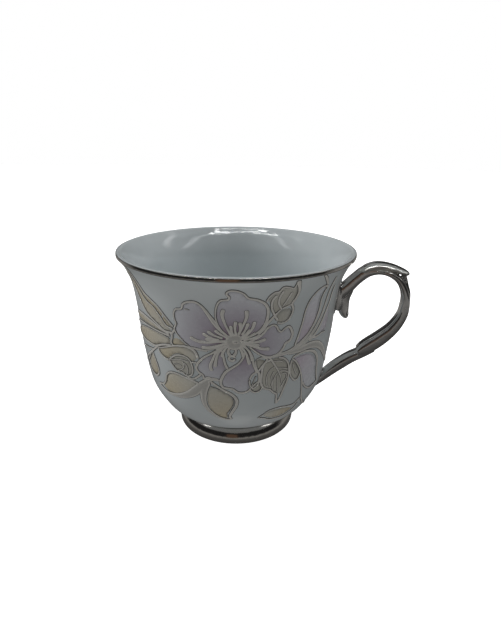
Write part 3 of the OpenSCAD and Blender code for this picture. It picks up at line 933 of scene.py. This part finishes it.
def eased(points, edges):
    """Smoothing that keeps the volume: a step in, then a slightly longer step out, each round."""
    count = np.zeros(len(points))
    np.add.at(count, edges[:, 0], 1)
    np.add.at(count, edges[:, 1], 1)
    for _ in range(EASE_ROUNDS):
        for step in EASE_STEPS:
            total = np.zeros_like(points)
            np.add.at(total, edges[:, 0], points[edges[:, 1]])
            np.add.at(total, edges[:, 1], points[edges[:, 0]])
            points = points + step * (total / count[:, None] - points)
    return points


handle_points, handle_edges, handle_faces = fused([bar(*stroke) for stroke in STROKES])
handle_points = eased(handle_points, handle_edges)
# Points deeper in the bowl's wall than the root's depth are moved out to it.
handle_r = np.hypot(handle_points[:, 0], handle_points[:, 1])
least_r = bowl_r(handle_points[:, 2]) - ROOT_DEPTH
sunk = handle_r < least_r
handle_points[sunk, :2] *= (least_r[sunk] / handle_r[sunk])[:, None]
make_object("handle_cast", handle_points, handle_faces, HANDLE_LUSTRE, "handle_lustre", replaces=["handle"])


def root_bead(name, z, half_width, half_height, node):
    """The rounded bead of slip round one root of the handle, on the bowl."""
    turns = np.linspace(0, 2 * math.pi + BEAD_OVERLAP, BEAD_POINTS)
    line = [(HANDLE_U + half_width * math.sin(a), z + half_height * math.cos(a)) for a in turns]
    flat_u, flat_z, lift, faces, _ = ribbon(line, (BEAD_WIDTH,), BEAD_RISE)
    points = on_bowl(flat_u, flat_z, lift)
    make_object(name, points, faces, HANDLE_LUSTRE, "handle_lustre", replaces=[node])


root_bead("upper_root", 55.6, 3.6, 6.6, "upper_slip")
root_bead("lower_root", 19.6, 3.0, 3.8, "lower_slip")

# ---------------------------------------------------------------- camera

TURN = math.radians(8)
PITCH = math.radians(20.17)
ROLL = math.radians(0.787)
LENS = 26.05
EYE = Vector((29.24, -168.57, 109.7)) * MM

right = Vector((math.cos(TURN), math.sin(TURN), 0))
ahead = Vector((-math.sin(TURN) * math.cos(PITCH), math.cos(TURN) * math.cos(PITCH), -math.sin(PITCH)))
up = right.cross(ahead)
camera_right = right * math.cos(ROLL) + up * math.sin(ROLL)
camera_up = up * math.cos(ROLL) - right * math.sin(ROLL)
camera_data = bpy.data.cameras.new("camera")
camera_data.sensor_width = 36
camera_data.lens = LENS
camera_data.clip_start = 0.01
camera_data.clip_end = 20
camera = placed("camera", camera_data)
turned = Matrix((camera_right, camera_up, -ahead)).transposed().to_4x4()
camera.matrix_world = Matrix.Translation(EYE) @ turned
bpy.context.scene.camera = camera

# ---------------------------------------------------------------- light and floor

CUP_MIDDLE = Vector((0, 0, 0.045))
# Soft lamps, as (name, place, size, power).
LAMPS = [
    ("left", (-0.80, 0.03, 0.42), (0.3, 0.6), 2.95),
    ("right", (0.63, 0.46, 0.6), (0.3, 0.6), 2.05),
    ("fill", (0.6, -0.6, 0.35), (0.3, 0.3), 0.16),
    ("above", (0.0, 0.1, 0.95), (0.7, 0.4), 2.6),
]


def area_light(name, place, size, power):
    """A soft lamp aimed at the cup; the glaze and the metal do not mirror it."""
    light = bpy.data.lights.new(name, "AREA")
    light.shape = "RECTANGLE"
    light.size, light.size_y = size
    light.energy = power
    lamp = placed(name, light)
    lamp.location = place
    lamp.rotation_mode = "QUATERNION"
    lamp.rotation_quaternion = (CUP_MIDDLE - Vector(place)).to_track_quat("-Z", "Y")
    lamp.visible_glossy = False


for lamp in LAMPS:
    area_light(*lamp)

world = bpy.data.worlds.new("studio")
world.use_nodes = True
bpy.context.scene.world = world
world.cycles.sampling_method = "NONE"
sky = world.node_tree

# What a ray that leaves the cup meets depends on its direction alone: its elevation and its azimuth in
# degrees, with azimuth 0 at the front and +90 at the right.
PER_RADIAN = 57.3
look = axes(sky, "Generated")
facing = maths(sky, "MULTIPLY", look["Y"], -1.0)
round_deg = maths(sky, "MULTIPLY", maths(sky, "ARCTAN2", look["X"], facing), PER_RADIAN)
rise_deg = maths(sky, "MULTIPLY", maths(sky, "ARCSINE", look["Z"]), PER_RADIAN)
height = scaled(sky, look["Z"], 0.0, 1.0, -1.0)

# What the glaze and the metal mirror, from straight down to straight up: a pale spot, a dark table with a
# pale strip just below eye level, a dim room and a paler ceiling.
ROOM = [
    (0.0, (0.27, 0.26, 0.245)), (0.004, (0.22, 0.21, 0.20)), (0.012, (0.06, 0.059, 0.057)),
    (0.2, (0.07, 0.069, 0.067)), (0.3, (0.10, 0.098, 0.095)), (0.38, (0.27, 0.265, 0.255)),
    (0.42, (0.25, 0.245, 0.235)), (0.55, (0.09, 0.09, 0.088)), (0.62, (0.17, 0.172, 0.17)),
    (0.85, (0.20, 0.21, 0.215)), (1.0, (0.26, 0.27, 0.28)),
]
# What lights the cup softly: a bright table below, a dim room above, both dimmer at the right.
SOFT = [
    (0.0, (0.48, 0.47, 0.46)), (0.45, (0.36, 0.36, 0.355)), (0.55, (0.09, 0.09, 0.09)),
    (1.0, (0.13, 0.13, 0.13)),
]
SOFT_LEFT = 1.12
SOFT_RIGHT = 0.72
# Patches of the room, as (azimuths, margin, elevations, margin, colour): a dark band at eye level in front,
# the brown wood in it, and the two dark back corners.
SHADES = [
    ((-92, 92), 18.0, (-10, 15), 4.0, (0.016, 0.016, 0.016)),
    ((-8, 11), 1.2, (-13, 5), 1.5, (0.10, 0.062, 0.042)),
    ((-158, -130), 8.0, (0, 34), 5.0, (0.03, 0.03, 0.03)),
    ((145, 185), 8.0, (2, 34), 5.0, (0.03, 0.03, 0.03)),
]
# Lights in the room, as (azimuths, elevations, margin, strength, lean). The lean is how many degrees the
# azimuth shifts for each degree of elevation. The strips are broken up by the sparkle, the glows are not.
STRIPS = [
    ((-45, 51), (60.5, 62.5), 0.7, 12.0, 0.0),
    ((-54, -36), (49, 54), 1.0, 10.0, 0.0),
    ((-36, -16), (53, 57), 1.0, 10.0, 0.0),
    ((20, 53), (53, 58), 1.0, 10.0, 0.0),
]
GLOWS = [
    ((103, 108), (28, 44), 5.0, 2.1, 0.0),
    ((65, 70), (26, 48), 4.0, 1.9, -1.0),
    ((-52, -47), (26, 46), 3.0, 1.6, 0.7),
    ((-79, -74), (34, 46), 4.0, 1.0, 0.0),
]


def between(source, low, high, margin):
    """A mask that is 1 where the source lies from low to high and falls to 0 over the margin."""
    rising = scaled(sky, source, 0.0, 1.0, low - margin, low)
    falling = scaled(sky, source, 0.0, 1.0, high + margin, high)
    return maths(sky, "MULTIPLY", rising, falling)


def lamps(spots):
    """The brightness of several soft-edged lights in the room."""
    total = 0.0
    for azimuths, elevations, margin, strength, lean in spots:
        middle = (elevations[0] + elevations[1]) / 2
        shift = maths(sky, "MULTIPLY", maths(sky, "SUBTRACT", rise_deg, middle), lean)
        across = between(maths(sky, "SUBTRACT", round_deg, shift), *azimuths, margin)
        mask = maths(sky, "MULTIPLY", across, between(rise_deg, *elevations, margin))
        total = maths(sky, "ADD", maths(sky, "MULTIPLY", mask, strength), total)
    return total


room = ramp(sky, height, ROOM)
for azimuths, side_margin, elevations, rise_margin, colour in SHADES:
    across = between(round_deg, *azimuths, side_margin)
    mask = maths(sky, "MULTIPLY", between(rise_deg, *elevations, rise_margin), across)
    room = mix(sky, "MIX", mask, room, colour)

sparkle = scaled(sky, noise(sky, 26.0, 1.0, 0.5, "Generated"), 0.0, 2.2, 0.5, 0.58)
shine = maths(sky, "ADD", lamps(GLOWS), maths(sky, "MULTIPLY", lamps(STRIPS), sparkle))
glow = add(sky, "ShaderNodeVectorMath", operation="SCALE")
glow.inputs[0].default_value = (1, 1, 1)
sky.links.new(shine, glow.inputs["Scale"])
mirrored = mix(sky, "ADD", 1.0, room, glow.outputs[0])

sideways = scaled(sky, look["X"], SOFT_LEFT, SOFT_RIGHT, -1.0)
soft = mix(sky, "MULTIPLY", 1.0, ramp(sky, height, SOFT), sideways)
path = sky.nodes.new("ShaderNodeLightPath")
lit = mix(sky, "MIX", path.outputs["Is Diffuse Ray"], mirrored, soft)
seen = mix(sky, "MIX", path.outputs["Is Camera Ray"], lit, (1.0, 1.0, 1.0))
sky.links.new(seen, sky.nodes["Background"].inputs["Color"])

FLOOR_RADIUS = 2.5
FLOOR_SIDES = 96
FLOOR_Z = -0.05 * MM


def floor_disc():
    """A plain white floor that only the camera sees, and only from above."""
    mesh = bpy.data.meshes.new("floor")
    turns = [2 * math.pi * s / FLOOR_SIDES for s in range(FLOOR_SIDES)]
    ring = [(FLOOR_RADIUS * math.cos(a), FLOOR_RADIUS * math.sin(a), FLOOR_Z) for a in turns]
    mesh.from_pydata(ring, [], [tuple(range(FLOOR_SIDES))])
    floor = placed("floor", mesh)
    m, tree, shader = material("floor_paper")
    colour = ramp(tree, noise(tree, 8.0), [(0.3, (0.88, 0.88, 0.88)), (0.7, (0.9, 0.9, 0.9))])
    tree.links.new(colour, shader.inputs["Base Color"])
    shader.inputs["Roughness"].default_value = 0.9
    shader.inputs["Emission Color"].default_value = (1, 1, 1, 1)
    shader.inputs["Emission Strength"].default_value = 1.0
    side = tree.nodes.new("ShaderNodeNewGeometry")
    clear = tree.nodes.new("ShaderNodeBsdfTransparent")
    either = tree.nodes.new("ShaderNodeMixShader")
    tree.links.new(side.outputs["Backfacing"], either.inputs[0])
    tree.links.new(shader.outputs[0], either.inputs[1])
    tree.links.new(clear.outputs[0], either.inputs[2])
    tree.links.new(either.outputs[0], tree.nodes["Material Output"].inputs["Surface"])
    mesh.materials.append(m)
    floor.visible_glossy = False
    floor.visible_diffuse = False


floor_disc()
bpy.context.scene.view_settings.view_transform = "Standard"

# ---------------------------------------------------------------- update


bpy.context.view_layer.update()
